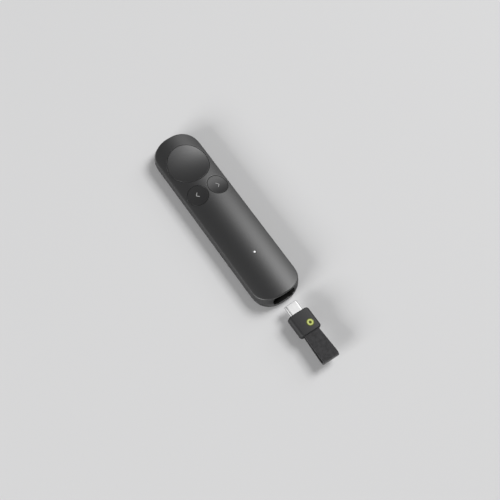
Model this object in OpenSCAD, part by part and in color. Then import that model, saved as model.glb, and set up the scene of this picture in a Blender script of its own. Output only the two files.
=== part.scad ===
// Wireless presentation clicker with a stowed USB-C receiver.
// +Y points to the button end, -Y to the dock end, +Z up, and z = 0 is the surface it rests on.
// The receiver is drawn pulled out of its dock, in line with it.

/* [Body] */
// Width of the body
body_w = 28.8; // [26:0.2:40]
// Length of the body
body_l = 119.7; // [100:0.1:160]
// Height of the body at its middle line
body_h = 12.4; // [12:0.1:18]
// Height of the side walls, where the crowned top begins
side_h = 8.8; // [8:0.1:9.2]
// Length of each rounded end
cap_l = 13.5; // [8:0.5:20]
// Squareness of the rounded ends: 2 is an ellipse, more is squarer
cap_power = 2.5; // [2:0.1:4]
// Thickness of the side walls
wall = 1.3; // [1:0.1:1.6]
// Thickness of the crowned top
top_wall = 1.3; // [1:0.1:1.6]
// Thickness of the wall that the dock mouth is cut through
dock_wall = 3.9; // [3:0.1:6]
// Height at which the ends begin to slope back
chin_z = 6; // [4:0.1:8]
// Height at which the slope ends and the ends stand upright again
chin_top = 10.2; // [9.5:0.1:11]
// How far the ends are set back above the slope
chin_in = 1.7; // [0.5:0.1:2]
// Width of the rounded lower edge
edge_in = 2.5; // [1:0.1:3]
// Height of the rounded lower edge
edge_h = 3.1; // [2:0.1:3.4]
// Thickness of the lip that centres the bottom cover
lip = 0.7; // [0.5:0.1:1]
// Height of that lip above the joint between the covers
lip_h = 1; // [0.5:0.1:1.2]

/* [Base] */
// How far the base pad stands out below the bottom cover
pad_proud = 0.3; // [0.1:0.1:0.6]
// How far the base pad is let into the bottom cover
pad_deep = 0.7; // [0.4:0.1:1]
// Rim of bottom cover left around the base pad
pad_margin = 2.9; // [2.6:0.1:3.6]
// Thickness of the bottom cover above the pad
floor_t = 0.8; // [0.6:0.1:1]

/* [Buttons] */
// Rim of top cover left on each side of the round pointer button
pointer_margin = 2.1; // [2:0.1:5]
// Distance from the button end of the body to the pointer button
pointer_end = 9.4; // [9:0.1:14]
// Depth of the pointer button's thumb hollow
pointer_dish = 1.7; // [1:0.1:2.2]
// Travel of the pointer button
pointer_travel = 0.5; // [0.2:0.1:0.5]
// Rim of top cover left outside each small button
small_margin = 1.6; // [1.5:0.1:4]
// Strip of top cover between the two small buttons
small_web = 1.5; // [1:0.1:4]
// Strip of top cover between the pointer button and the small buttons
row_web = 2.1; // [2:0.1:6]
// Depth of the small buttons' finger hollows
small_dish = 0.7; // [0.3:0.1:1]
// Travel of the two small buttons
small_travel = 0.4; // [0.2:0.1:0.4]
// Gap around each button
button_gap = 0.15; // [0.1:0.05:0.3]
// Thickness of the buttons at their thinnest
button_t = 1.05; // [0.9:0.05:1.3]
// How far the buttons' catches reach under the top cover
catch_l = 0.7; // [0.5:0.1:0.8]

/* [Electronics] */
// Thickness of the main circuit board
board_t = 0.8; // [0.6:0.1:1]
// Side of a switch body
switch_w = 4.6; // [4:0.1:6]
// Height of a switch body
switch_h = 1.2; // [1:0.1:1.3]
// Width of the battery
battery_w = 14; // [10:0.5:14]
// Length of the battery
battery_l = 38; // [25:1:45]
// Thickness of the battery
battery_t = 2.4; // [1.5:0.1:2.4]
// Diameter of the vibration motor
motor_d = 8; // [6:0.5:9]
// Distance from the dock end to the status light
light_y = 30.8; // [28:0.1:40]
// Diameter of the status light's window
light_d = 1.2; // [0.8:0.1:2]

/* [Receiver] */
// Width of the receiver
receiver_w = 13.8; // [12.6:0.2:17]
// Thickness of the receiver
receiver_t = 5.8; // [5.4:0.1:6.4]
// Length of the receiver's housing
receiver_l = 13.2; // [12:0.1:18]
// Radius of the receiver's long edges
receiver_round = 2.4; // [1:0.1:2.6]
// Height of the receiver's middle above the surface
receiver_z = 7; // [6.8:0.05:7.1]
// Gap between the dock mouth and the tip of the plug when pulled out
pulled_gap = 4.1; // [2:0.1:20]
// Clearance around the receiver in its dock
dock_gap = 0.3; // [0.2:0.05:0.4]
// How far the receiver's tail stays inside the dock mouth when stowed
stow_in = 0.4; // [0:0.1:1]
// Wall of the dock sleeve
sleeve_t = 0.65; // [0.5:0.05:0.7]
// Wall of the receiver's housing
shell_t = 0.9; // [0.7:0.1:1]
// Diameter of the round badge on the receiver
badge_d = 4.5; // [3:0.1:6]
// Distance of the badge from the receiver's middle line
badge_x = 2.2; // [0:0.1:3]
// Distance of the badge's centre from the receiver's tail
badge_y = 4.7; // [3:0.1:8]

/* [Strap] */
// Length of the strap behind the receiver
strap_l = 18.4; // [12:0.1:40]
// Side of the receiver left on each side of the strap
strap_margin = 1.7; // [1.4:0.1:3]
// Width of the strap at its loose end
strap_end_w = 10.4; // [8:0.1:14]
// Thickness of the strap's band
strap_t = 0.9; // [0.6:0.1:1]
// Diameter of the pin that the strap loops round
pin_d = 1.2; // [0.8:0.1:1.4]
// Thickness of the strap's loose end, over both layers of band
strap_end_t = 4.8; // [2.6:0.1:5.4]

/* [Hidden] */
$fn = 64;

// Longer than anything it has to cut through
far = 200;
// How far a cutter starts before the face it cuts
eps = 0.02;
// Clearance between pieces of the same body that sit in one another
fit = 0.1;
// How far a post is sunk into the wall, floor or disc that carries it
root = 0.3;
// How far pressed and sliding pieces stop short of what is under or behind them
stop_gap = 0.15;
// Number of flats that one rounded end is drawn with
cap_steps = 28;
// Number of levels that the rounded lower edge is drawn with
edge_steps = 6;

// Body: places along its length and height
half_w = body_w / 2;
half_l = body_l / 2;
crown = body_h - side_h;
crown_r = (half_w * half_w + crown * crown) / (2 * crown);
split_z = pad_proud + edge_h;
pad_top = pad_proud + pad_deep;
floor_z = pad_top + floor_t;
dock_in = -half_l + dock_wall;
inner_w = half_w - wall;
// Heights of the crowned top's outside and inside at a distance from the middle line
function crown_z(x) = body_h - crown_r + sqrt(crown_r * crown_r - x * x);
function ceiling_z(x) = body_h - crown_r + sqrt(pow(crown_r - top_wall, 2) - x * x);
// Distance from the middle line at which the inside has come down to a height
function ceiling_x(z) = sqrt(pow(crown_r - top_wall, 2) - pow(z - body_h + crown_r, 2));

// USB-C: the sizes of the standard plug and socket
plug_w = 8.3;
plug_h = 2.5;
plug_l = 6.5;
plug_wall = 0.25;
plug_seat = 3;
plug_gap = 0.15;
port_w = plug_w + 2 * plug_gap + 2 * plug_wall;
port_h = plug_h + 2 * plug_gap + 2 * plug_wall;
port_round = 1.4;
plug_round = 1.2;
cavity_w = 6.7;
cavity_h = 0.9;
tongue_w = 6.4;
tongue_h = 0.6;

// Receiver: places along the line of travel
plug_tip = -half_l - pulled_gap;
receiver_front = plug_tip - plug_l;
receiver_tail = receiver_front - receiver_l;
stow_travel = -half_l + stow_in - receiver_tail;
sleeve_w = receiver_w + 2 * dock_gap;
sleeve_h = receiver_t + 2 * dock_gap;
sleeve_round = receiver_round + dock_gap;
sleeve_end = receiver_front + stow_travel + plug_gap;
sleeve_end_t = 0.6;
plug_room = 0.9;
port_back = plug_tip + stow_travel + plug_room;
port_end = port_back + 0.4;
tongue_in = 1.2;
corner_r = 1.4;
tail_deep = 3.9;
tail_wall = 0.6;

// Strap: its pin, and the loop's places
pin_y = receiver_tail + 1.8;
pin_r = pin_d / 2;
pin_gap = 0.03;
pin_x = receiver_w / 2 - 0.6;
band_in = pin_r + 0.05;
strap_w = receiver_w - 2 * strap_margin;
strap_end_r = strap_end_t / 2;
strap_y = receiver_tail - strap_l + strap_end_r;
// Half the thickness of the loop of band at a place along its length
function belt_r(y) = band_in + strap_t + (strap_end_r - band_in - strap_t) * (pin_y - y) / (pin_y - strap_y);

// Main board: under the charging socket, and clear of the battery, which lies on the floor
battery_gap = 0.15;
battery_pad_t = 0.2;
board_z = max(receiver_z - port_h / 2 - board_t, floor_z + battery_pad_t + battery_t + battery_gap);
board_top = board_z + board_t;
board_gap = 1.6;
board_x = inner_w - board_gap;
board_y0 = sleeve_end + sleeve_end_t + 0.2;
board_y1 = half_l - 10.9;
board_round = 4;
battery_y0 = board_y0 + 11;

// Buttons
pointer_r = half_w - pointer_margin;
pointer_y = half_l - pointer_end - pointer_r;
small_r = (half_w - small_margin - small_web / 2) / 2;
small_x = small_web / 2 + small_r;
small_y = pointer_y - pointer_r - row_web - small_r;
rim_t = 0.75;
pointer_under = min(body_h - pointer_dish - button_t, crown_z(pointer_r) - rim_t);
small_under = min(
    crown_z(small_x) - small_dish - button_t,
    crown_z(small_x + small_r) - rim_t,
    pointer_under - stop_gap
);
most_travel = max(pointer_travel, small_travel);
switch_top = board_top + switch_h;
switch_floor = 0.15;
stem_r = 0.9;
stem_top = switch_top + most_travel + fit;
stem_z = board_top + switch_floor + most_travel + 0.05;
post_r = 1.4;
catch_w = 3;
catch_root = 0.6;
rim_land = 0.15;
guide_r = 1;
guide_x = pointer_r - 3.8;
guide_gap = 0.2;

// Frame that carries the buttons, on legs that stand on the board
frame_t = 0.8;
frame_top = min(small_under - small_travel, pointer_under - pointer_travel) - stop_gap;
frame_z = frame_top - frame_t;
frame_x = min(inner_w - 0.7, ceiling_x(frame_top + fit));
frame_y0 = small_y - small_r - 2;
frame_y1 = pointer_y + pointer_r + 2.4;
frame_round = 5;
leg_r = 1;
leg_x = board_x - 1.6;
leg_at = [for (s = [-1, 1], y = [small_y + small_r + 1, pointer_y + 8]) [s * leg_x, y]];

// Screws: a head under the board or the floor, and a thread up into a boss of the top cover
screw_r = 0.75;
pilot_gap = 0.03;
pilot_more = 0.5;
head_r = 1.4;
head_h = 0.9;
boss_r = 1.6;
boss_gap = 0.4;
foot_r = 2.2;
head_z = floor_z + 0.25;
cover_screw_l = 5.2;
board_screw_l = 3;
// Cover screws, all under the base pad: behind the dock, at mid length and beyond the pointer button.
// A board screw stands beside each of the first two pairs.
screw_pitch = 5.7;
dock_screw_y = board_y0 + boss_r + 0.8;
mid_screw_y = small_y - small_r - 4 - screw_pitch;
cover_screw_x = half_w - pad_margin - head_r - fit - 0.4;
board_screw_x = board_x - 2.2;
cover_screw_at = [for (s = [-1, 1]) each [
    [s * cover_screw_x, dock_screw_y],
    [s * cover_screw_x, mid_screw_y],
    [s * (cover_screw_x - 1.8), half_l - 8.1]
]];
board_screw_at = [for (s = [-1, 1], y = [dock_screw_y, mid_screw_y]) [s * board_screw_x, y + screw_pitch]];

// Places of the pieces on the board, in plan
light_at = [0, -half_l + light_y];
shield_at = light_at + [-5.6, 1.2];
crystal_at = light_at + [-5.6, 8];
sensor_at = light_at + [0, 12.4];
power_at = light_at + [6.5, 0];
motor_at = light_at + [4.8, 6.4];
antenna_at = [0, board_y1 - 1.6];
shield_size = [8, 9, 1.5];
shield_t = 0.2;

// Status light: a window in the top cover, with a collar under it that the light pipe's flange seats on
light_r = light_d / 2;
light_gap = 0.05;
light_collar = 1;
light_seat = body_h - top_wall - 1;
flange_t = 0.6;
pipe_gap = 0.2;
led_size = [1.6, 0.8, 0.6];

// Receiver: its badge and its board
badge_at = [badge_x, receiver_tail + badge_y];
badge_t = 0.5;
badge_z = receiver_z + receiver_t / 2 - badge_t;
receiver_board_t = 0.6;
receiver_board_y0 = receiver_tail + tail_deep + tail_wall + 0.2;
receiver_board_y1 = receiver_front - plug_seat;

// ---------- shapes that repeat ----------

// Signed power, which bends a circle into the squarer curve of the body's ends
function bent(v, size) = sign(v) * pow(abs(v), 2 / cap_power) * size;

// Plan of the body, drawn in by an even margin, with its rounded ends set back by a further length
module body_plan(margin, back = 0) {
    w = half_w - margin;
    c = cap_l - margin - back;
    y = half_l - cap_l;
    polygon([for (e = [1, -1]) for (k = [0 : cap_steps])
        let (a = (e > 0 ? 0 : 180) + 180 * k / cap_steps)
        [bent(cos(a), w), e * y + bent(sin(a), c)]
    ]);
}

// A solid with the body's plan, from one height to another
module body_slab(margin, z0, z1, back = 0) {
    translate([0, 0, z0]) linear_extrude(z1 - z0) body_plan(margin, back);
}

// The body's upright form from a height up, drawn in by a margin: both ends slope back over the chin
module body_tower(margin, z0) {
    body_slab(margin, z0, chin_z);
    hull() {
        body_slab(margin, chin_z - eps, chin_z);
        body_slab(margin, chin_top, chin_top + eps, chin_in);
    }
    body_slab(margin, chin_top, body_h + 1, chin_in);
}

// The round bar that the crowned top belongs to, lowered by a thickness
module crown_bar(drop) {
    translate([0, far / 2, body_h - crown_r]) rotate([90, 0, 0])
        cylinder(r = crown_r - drop, h = far, $fn = 200);
}

// A flat rectangle with round corners, centred
module round_rect(w, h, r) {
    square([w - 2 * r, h], center = true);
    square([w, h - 2 * r], center = true);
    for (x = [-1, 1], y = [-1, 1]) translate([x * (w / 2 - r), y * (h / 2 - r)]) circle(r);
}

// A bar along Y with a round-cornered section, at the receiver's height
module dock_bar(w, h, r, y0, y1) {
    translate([0, y1, receiver_z]) rotate([90, 0, 0]) linear_extrude(y1 - y0) round_rect(w, h, r);
}

// A box between two corners
module block(low, high) {
    translate(low) cube(high - low);
}

// A box that stands on the board, centred at a place in plan
module chip(at, size) {
    translate([at[0] - size[0] / 2, at[1] - size[1] / 2, board_top]) cube(size);
}

// A post or a hole from one height to another
module post(at, r, z0, z1) {
    translate([at[0], at[1], z0]) cylinder(r = r, h = z1 - z0);
}

// A cap screw that points up: its head hangs below the seat height
module screw(at, seat_z, l) {
    post(at, head_r, seat_z - head_h, seat_z);
    post(at, screw_r, seat_z - eps, seat_z + l);
}

// ---------- covers ----------

module top_cover() {
    color([0.23, 0.23, 0.24]) difference() {
        union() {
            difference() {
                intersection() {
                    body_tower(0, split_z);
                    crown_bar(0);
                }
                intersection() {
                    body_tower(wall, split_z - 1);
                    crown_bar(top_wall);
                    block([-far / 2, dock_in, 0], [far / 2, far / 2, far / 2]);
                }
            }
            intersection() {
                union() {
                    for (p = cover_screw_at) post(p, boss_r, split_z + fit, body_h);
                    for (p = board_screw_at) post(p, boss_r, board_top, body_h);
                    post(light_at, light_r + light_collar, light_seat, body_h);
                }
                crown_bar(top_wall - root);
            }
        }
        dock_bar(sleeve_w, sleeve_h, sleeve_round, -half_l - 1, dock_in + 1);
        post([0, pointer_y], pointer_r + button_gap, 0, far / 2);
        for (s = [-1, 1]) post([s * small_x, small_y], small_r + button_gap, 0, far / 2);
        post(light_at, light_r + light_gap, 0, far / 2);
        for (p = cover_screw_at) post(p, screw_r + pilot_gap, 0, head_z + cover_screw_l + pilot_more);
        for (p = board_screw_at) post(p, screw_r + pilot_gap, 0, board_z + board_screw_l + pilot_more);
    }
}

module bottom_cover() {
    lip_z = split_z - lip_h;
    lip_in = wall + fit + lip;
    rib_x = sleeve_w / 2 - sleeve_round;
    rib_t = 1;
    sleeve_under = receiver_z - sleeve_h / 2 - sleeve_t;
    color([0.17, 0.17, 0.18]) difference() {
        union() {
            difference() {
                hull() for (k = [0 : edge_steps]) {
                    a = 90 * k / edge_steps;
                    z = pad_proud + edge_h * (1 - cos(a));
                    body_slab(edge_in * (1 - sin(a)), max(z - eps, pad_proud), max(z, pad_proud + eps));
                }
                body_slab(lip_in, floor_z, split_z + 1);
            }
            difference() {
                body_slab(wall + fit, lip_z, split_z + lip_h);
                body_slab(lip_in, lip_z - 1, split_z + lip_h + 1);
                block([-far / 2, -far / 2, 0], [far / 2, sleeve_end, far / 2]);
            }
            for (p = cover_screw_at) post(p, foot_r, floor_z - root, split_z);
            for (y = [dock_in + 2, sleeve_end - 3])
                block([-rib_x, y, floor_z - root], [rib_x, y + rib_t, sleeve_under]);
        }
        body_slab(pad_margin, 0, pad_top);
        for (p = cover_screw_at) {
            post(p, head_r + fit, 0, head_z);
            post(p, screw_r + fit, 0, far / 2);
        }
    }
}

module base_pad() {
    color([0.12, 0.12, 0.12]) body_slab(pad_margin + fit, 0, pad_top);
}

module cover_screws() {
    color([0.6, 0.6, 0.62]) for (p = cover_screw_at) screw(p, head_z, cover_screw_l);
}

// ---------- buttons ----------

// A round button: a crowned disc with a hollow, catches front and back, and a post.
// The hollow is a round waist: it is rolled along Y, and follows the crown in part from side to side,
// so that it runs out evenly at the disc's edge.
module button(x, r, dish, under, tilt) {
    reach = r + rim_land;
    roll_r = (reach * reach + dish * dish) / (2 * dish);
    waist_r = 1 / max(0.005, 1 / crown_r - 2 * dish / (reach * reach));
    catch_top = ceiling_z(abs(x) + catch_w / 2) - fit;
    catch_y = r + catch_l;
    intersection() {
        difference() {
            translate([x, 0, under]) cylinder(r = r, h = body_h, $fn = 128);
            translate([x, 0, crown_z(x)]) rotate([0, tilt, 0]) translate([0, 0, -dish - waist_r])
                rotate([90, 0, 0]) rotate_extrude($fn = 500) intersection() {
                    translate([waist_r + roll_r, 0]) circle(roll_r, $fn = 200);
                    translate([waist_r - 1, -reach]) square([dish + 2, 2 * reach]);
                }
        }
        crown_bar(0);
    }
    for (a = [0, 180]) translate([x, 0, 0]) rotate([0, 0, a])
        block([-catch_w / 2, r - catch_root, under], [catch_w / 2, catch_y, catch_top]);
    post([x, 0], post_r, stem_top, under + root);
}

module pointer_button() {
    color([0.24, 0.24, 0.25]) translate([0, pointer_y, 0]) {
        button(0, pointer_r, pointer_dish, pointer_under, 0);
        for (s = [-1, 1]) post([s * guide_x, 0], guide_r, frame_z - root, pointer_under + root);
    }
}

// A small button on one side: -1 is back, 1 is next
module small_button(side) {
    tilt = side * asin(small_x / crown_r);
    color([0.24, 0.24, 0.25]) translate([0, small_y, 0])
        button(side * small_x, small_r, small_dish, small_under, tilt);
}

module back_button() {
    small_button(-1);
}

module next_button() {
    small_button(1);
}

module button_frame() {
    color([0.35, 0.35, 0.37]) difference() {
        union() {
            translate([0, (frame_y0 + frame_y1) / 2, frame_z]) linear_extrude(frame_t)
                round_rect(2 * frame_x, frame_y1 - frame_y0, frame_round);
            for (p = leg_at) post(p, leg_r, board_top, frame_z + root);
        }
        post([0, pointer_y], post_r + guide_gap, 0, far / 2);
        for (s = [-1, 1]) {
            post([s * small_x, small_y], post_r + guide_gap, 0, far / 2);
            post([s * guide_x, pointer_y], guide_r + guide_gap, 0, far / 2);
        }
        for (p = cover_screw_at) post(p, boss_r + guide_gap, 0, far / 2);
        for (p = board_screw_at) post(p, boss_r + guide_gap, 0, far / 2);
    }
}

// ---------- switches ----------

module switch_body(at) {
    color([0.1, 0.1, 0.1]) difference() {
        chip(at, [switch_w, switch_w, switch_h]);
        post(at, stem_r + fit, board_top + switch_floor, far / 2);
    }
}

module switch_stem(at) {
    color([0.85, 0.83, 0.78]) post(at, stem_r, stem_z, stem_top);
}

module pointer_switch() {
    switch_body([0, pointer_y]);
}

module back_switch() {
    switch_body([-small_x, small_y]);
}

module next_switch() {
    switch_body([small_x, small_y]);
}

module pointer_stem() {
    switch_stem([0, pointer_y]);
}

module back_stem() {
    switch_stem([-small_x, small_y]);
}

module next_stem() {
    switch_stem([small_x, small_y]);
}

// ---------- electronics ----------

module main_board() {
    color([0.05, 0.3, 0.15]) difference() {
        translate([0, (board_y0 + board_y1) / 2, board_z]) linear_extrude(board_t)
            round_rect(2 * board_x, board_y1 - board_y0, board_round);
        for (p = cover_screw_at) post(p, boss_r + boss_gap, 0, far / 2);
        for (p = board_screw_at) post(p, screw_r + fit, 0, far / 2);
        if (board_top > receiver_z - port_h / 2 + fit)
            dock_bar(port_w + 2 * fit, port_h + 2 * fit, port_round + fit, board_y0 - 1, port_end + fit);
    }
}

module board_screws() {
    color([0.6, 0.6, 0.62]) for (p = board_screw_at) screw(p, board_z, board_screw_l);
}

// A tin can, open below, over the radio chip
module radio_shield() {
    color([0.75, 0.75, 0.76]) difference() {
        chip(shield_at, shield_size);
        translate([0, 0, -shield_t]) chip(shield_at, shield_size - [2 * shield_t, 2 * shield_t, 0]);
    }
}

module radio_chip() {
    color([0.08, 0.08, 0.09]) chip(shield_at, [5, 5, 0.8]);
}

module crystal() {
    color([0.8, 0.8, 0.8]) chip(crystal_at, [3.2, 2.5, 0.7]);
}

module motion_sensor() {
    color([0.1, 0.1, 0.1]) chip(sensor_at, [3, 3, 0.9]);
}

module power_chip() {
    color([0.1, 0.1, 0.1]) chip(power_at, [4, 4, 0.8]);
}

module antenna() {
    color([0.9, 0.9, 0.88]) chip(antenna_at, [8, 1.2, 1.1]);
}

module status_led() {
    color([0.95, 0.95, 0.8]) chip(light_at, led_size);
}

// A clear rod with a flange, which carries the light up to the window in the top cover
module light_pipe() {
    color([0.95, 0.97, 1]) {
        intersection() {
            post(light_at, light_r, board_top + led_size[2] + pipe_gap, body_h);
            crown_bar(0);
        }
        post(light_at, light_r + light_collar, light_seat - flange_t, light_seat);
    }
}

module vibration_motor() {
    motor_h = 2.7;
    color([0.7, 0.7, 0.72]) post(motor_at, motor_d / 2, board_top, board_top + motor_h);
}

// The battery, or with a margin and other heights, the pad under it
module battery_slab(margin, z0, z1) {
    x = battery_w / 2 - margin;
    block([-x, battery_y0 + margin, z0], [x, battery_y0 + battery_l - margin, z1]);
}

module battery() {
    color([0.75, 0.76, 0.78]) battery_slab(0, board_z - battery_gap - battery_t, board_z - battery_gap);
}

// The soft adhesive pad that holds the battery down
module battery_pad() {
    color([0.15, 0.15, 0.16]) battery_slab(1, floor_z, board_z - battery_gap - battery_t);
}

// Two welded tabs from the battery's end up to the board
module battery_tabs() {
    tab_w = 2;
    tab_t = 0.2;
    tab_h = 1.4;
    color([0.8, 0.78, 0.7]) for (x = [-3, 3])
        block([x - tab_w / 2, battery_y0 - tab_t, board_z - tab_h], [x + tab_w / 2, battery_y0, board_z]);
}

// ---------- dock ----------

module dock_sleeve() {
    color([0.09, 0.09, 0.1]) difference() {
        intersection() {
            dock_bar(
                sleeve_w + 2 * sleeve_t, sleeve_h + 2 * sleeve_t, sleeve_round + sleeve_t,
                dock_in, sleeve_end + sleeve_end_t
            );
            crown_bar(top_wall + fit);
        }
        dock_bar(sleeve_w, sleeve_h, sleeve_round, dock_in - 1, sleeve_end);
        dock_bar(port_w + 2 * fit, port_h + 2 * fit, port_round + fit, sleeve_end - 1, sleeve_end + 2);
    }
}

// The charging socket: a tube with a back, which the receiver's plug also parks in
module charge_port() {
    color([0.72, 0.72, 0.73]) difference() {
        dock_bar(port_w, port_h, port_round, sleeve_end, port_end);
        dock_bar(
            port_w - 2 * plug_wall, port_h - 2 * plug_wall, port_round - plug_wall,
            sleeve_end - 1, port_back
        );
    }
}

module charge_tongue() {
    color([0.1, 0.1, 0.1]) block(
        [-tongue_w / 2, sleeve_end + tongue_in, receiver_z - tongue_h / 2],
        [tongue_w / 2, port_back, receiver_z + tongue_h / 2]
    );
}

// ---------- receiver ----------

// The receiver's outer shape: round long edges, and corners rounded in plan
module receiver_form() {
    intersection() {
        dock_bar(receiver_w, receiver_t, receiver_round, receiver_tail, receiver_front);
        translate([0, (receiver_tail + receiver_front) / 2, 0]) linear_extrude(far / 2)
            round_rect(receiver_w, receiver_l, corner_r);
    }
}

// The strap's pin or its hole, out to a distance on each side of the middle line
module pin(r, x) {
    translate([-x, pin_y, receiver_z]) rotate([0, 90, 0]) cylinder(r = r, h = 2 * x);
}

// What is cut out of both halves of the receiver's housing
module receiver_hollow() {
    room_x = receiver_w / 2 - shell_t;
    room_z = receiver_t / 2 - shell_t;
    tail_x = strap_w / 2 + 0.35;
    tail_z = belt_r(receiver_tail) + 0.25;
    front_wall = 1.2;
    dock_bar(plug_w + 2 * fit, plug_h + 2 * fit, plug_round + fit, receiver_front - 2, receiver_front + 1);
    block(
        [-room_x, receiver_tail + tail_deep + tail_wall, receiver_z - room_z],
        [room_x, receiver_front - front_wall, receiver_z + room_z]
    );
    block(
        [-tail_x, receiver_tail - 1, receiver_z - tail_z],
        [tail_x, receiver_tail + tail_deep, receiver_z + tail_z]
    );
    pin(pin_r + pin_gap, pin_x + fit);
}

module receiver_upper() {
    color([0.2, 0.2, 0.21]) difference() {
        receiver_form();
        receiver_hollow();
        block([-far / 2, -far, -1], [far / 2, far, receiver_z]);
        post(badge_at, badge_d / 2 + pin_gap, badge_z, far / 2);
    }
}

module receiver_lower() {
    color([0.2, 0.2, 0.21]) difference() {
        receiver_form();
        receiver_hollow();
        block([-far / 2, -far, receiver_z], [far / 2, far, far]);
    }
}

module plug_shell() {
    color([0.85, 0.85, 0.86]) difference() {
        dock_bar(plug_w, plug_h, plug_round, receiver_front - plug_seat, plug_tip);
        dock_bar(
            plug_w - 2 * plug_wall, plug_h - 2 * plug_wall, plug_round - plug_wall,
            receiver_front - plug_seat - 1, plug_tip + 1
        );
    }
}

module plug_insert() {
    color([0.08, 0.08, 0.08]) difference() {
        dock_bar(
            plug_w - 2 * plug_wall, plug_h - 2 * plug_wall, plug_round - plug_wall,
            receiver_front - plug_seat, plug_tip - 0.3
        );
        dock_bar(cavity_w, cavity_h, 0.2, plug_tip - 5.8, plug_tip + 1);
    }
}

module receiver_board() {
    x = receiver_w / 2 - shell_t - fit;
    color([0.05, 0.3, 0.15]) block(
        [-x, receiver_board_y0, receiver_z - receiver_board_t / 2],
        [x, receiver_board_y1, receiver_z + receiver_board_t / 2]
    );
}

module receiver_chip() {
    y = (receiver_board_y0 + receiver_board_y1) / 2;
    z = receiver_z + receiver_board_t / 2;
    w = 3.5;
    h = 0.8;
    color([0.08, 0.08, 0.09]) block([-w / 2, y - w / 2, z], [w / 2, y + w / 2, z + h]);
}

// A plain round badge with a dimple in its middle
module badge() {
    color([0.85, 0.87, 0.45]) difference() {
        intersection() {
            post(badge_at, badge_d / 2, badge_z, far / 2);
            receiver_form();
        }
        post(badge_at, badge_d / 6, badge_z + badge_t / 2, far / 2);
    }
}

// ---------- strap ----------

// Side view of the closed loop of band, as the belt round two circles
module belt(pin_side, end_side) {
    hull() {
        translate([pin_y, receiver_z]) circle(pin_side, $fn = 48);
        translate([strap_y, receiver_z]) circle(end_side, $fn = 48);
    }
}

module strap() {
    root = receiver_tail + tail_deep;
    tip = strap_y - strap_end_r - 1;
    flare = (strap_end_w - strap_w) / 2 / (receiver_tail - strap_y);
    end_x = strap_w / 2 + flare * (receiver_tail - tip);
    color([0.22, 0.22, 0.23]) intersection() {
        translate([-far / 2, 0, 0]) rotate([90, 0, 90]) linear_extrude(far) difference() {
            belt(band_in + strap_t, strap_end_r);
            belt(band_in, strap_end_r - strap_t);
        }
        linear_extrude(far / 2) polygon([
            [-strap_w / 2, root], [-strap_w / 2, receiver_tail], [-end_x, tip],
            [end_x, tip], [strap_w / 2, receiver_tail], [strap_w / 2, root]
        ]);
    }
}

module strap_pin() {
    color([0.7, 0.7, 0.72]) pin(pin_r, pin_x);
}

top_cover();
bottom_cover();
base_pad();
cover_screws();
button_frame();
pointer_button();
back_button();
next_button();
pointer_switch();
back_switch();
next_switch();
pointer_stem();
back_stem();
next_stem();
main_board();
board_screws();
radio_shield();
radio_chip();
crystal();
motion_sensor();
power_chip();
antenna();
status_led();
light_pipe();
vibration_motor();
battery();
battery_pad();
battery_tabs();
dock_sleeve();
charge_port();
charge_tongue();
receiver_upper();
receiver_lower();
plug_shell();
plug_insert();
receiver_board();
receiver_chip();
badge();
strap();
strap_pin();
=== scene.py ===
import bmesh
import bpy
import numpy as np
from mathutils import Matrix, Vector
from mathutils.geometry import delaunay_2d_cdt


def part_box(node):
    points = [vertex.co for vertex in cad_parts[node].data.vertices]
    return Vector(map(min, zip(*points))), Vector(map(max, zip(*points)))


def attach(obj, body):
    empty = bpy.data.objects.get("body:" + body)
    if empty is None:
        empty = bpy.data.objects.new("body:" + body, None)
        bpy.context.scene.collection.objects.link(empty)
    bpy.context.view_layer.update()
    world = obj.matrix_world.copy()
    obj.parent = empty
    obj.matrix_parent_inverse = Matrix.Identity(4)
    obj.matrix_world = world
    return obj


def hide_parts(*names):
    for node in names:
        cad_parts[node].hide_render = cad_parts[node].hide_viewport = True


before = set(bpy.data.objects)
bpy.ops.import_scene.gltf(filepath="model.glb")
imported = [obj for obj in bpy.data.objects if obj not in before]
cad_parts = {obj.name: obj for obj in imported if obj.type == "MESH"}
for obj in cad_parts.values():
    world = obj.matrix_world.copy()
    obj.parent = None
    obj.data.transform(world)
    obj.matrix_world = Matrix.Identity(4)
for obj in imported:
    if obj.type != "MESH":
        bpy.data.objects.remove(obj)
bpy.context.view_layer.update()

MM = 0.001


# ---------- sizes in millimetres, read from the frame where it holds them ----------

def span(node):
    """Lowest and highest corner of a CAD node, to a thousandth of a millimetre."""
    return [np.round(np.array(corner) / MM, 3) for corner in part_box(node)]


def middle(node):
    """Middle of a CAD node's box, to a thousandth of a millimetre."""
    low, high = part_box(node)
    return np.round(np.array(low + high) / 2 / MM, 3)


# Body: half its width and length, its height, and the height of the joint between its covers
(_, _, SPLIT_Z), (HALF_W, HALF_L, HEIGHT) = span("top_cover")
# Height of the side walls, where the crown begins, and the radius of the crown
SIDE_H = 8.8
CROWN_R = (HALF_W ** 2 + (HEIGHT - SIDE_H) ** 2) / (2 * (HEIGHT - SIDE_H))
# Rounded ends: their length, and their squareness, where 2 is an ellipse
CAP_L, CAP_POWER = 13.5, 2.5
# Slope of the ends: the heights at which it begins and stops, and how far it sets them back
CHIN_Z, CHIN_TOP, CHIN_IN = 6.0, 10.2, 1.7
# Thickness of the walls, radius of the edge round the crown, and the small slope at the joint
WALL, EDGE_R, SEAM = 1.3, 0.45, 0.1

# Bottom cover: the heights of its rim, its lip's top and its floor, how far its rounded edge draws in, and
# the margin of the pad's recess
(_, _, RIM_Z), (_, _, LIP_TOP) = span("bottom_cover")
EDGE_IN, FLOOR_Z, RECESS = 2.5, span("battery_pad")[0][2], 2.9
# Its centring lip: where it starts behind the dock, and the margins of its sides
LIP_START, LIP_OUT, LIP_IN = span("charge_port")[0][1], 1.4, 2.1
# Ribs under the dock: places along Y, half sizes and corner radius in plan, and the heights of their ends
DOCK_RIBS, DOCK_RIB, DOCK_RIB_Z = (-53.45, -48.6), (4.5, 0.5, 0.15), (1.5, 3.15)
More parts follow.
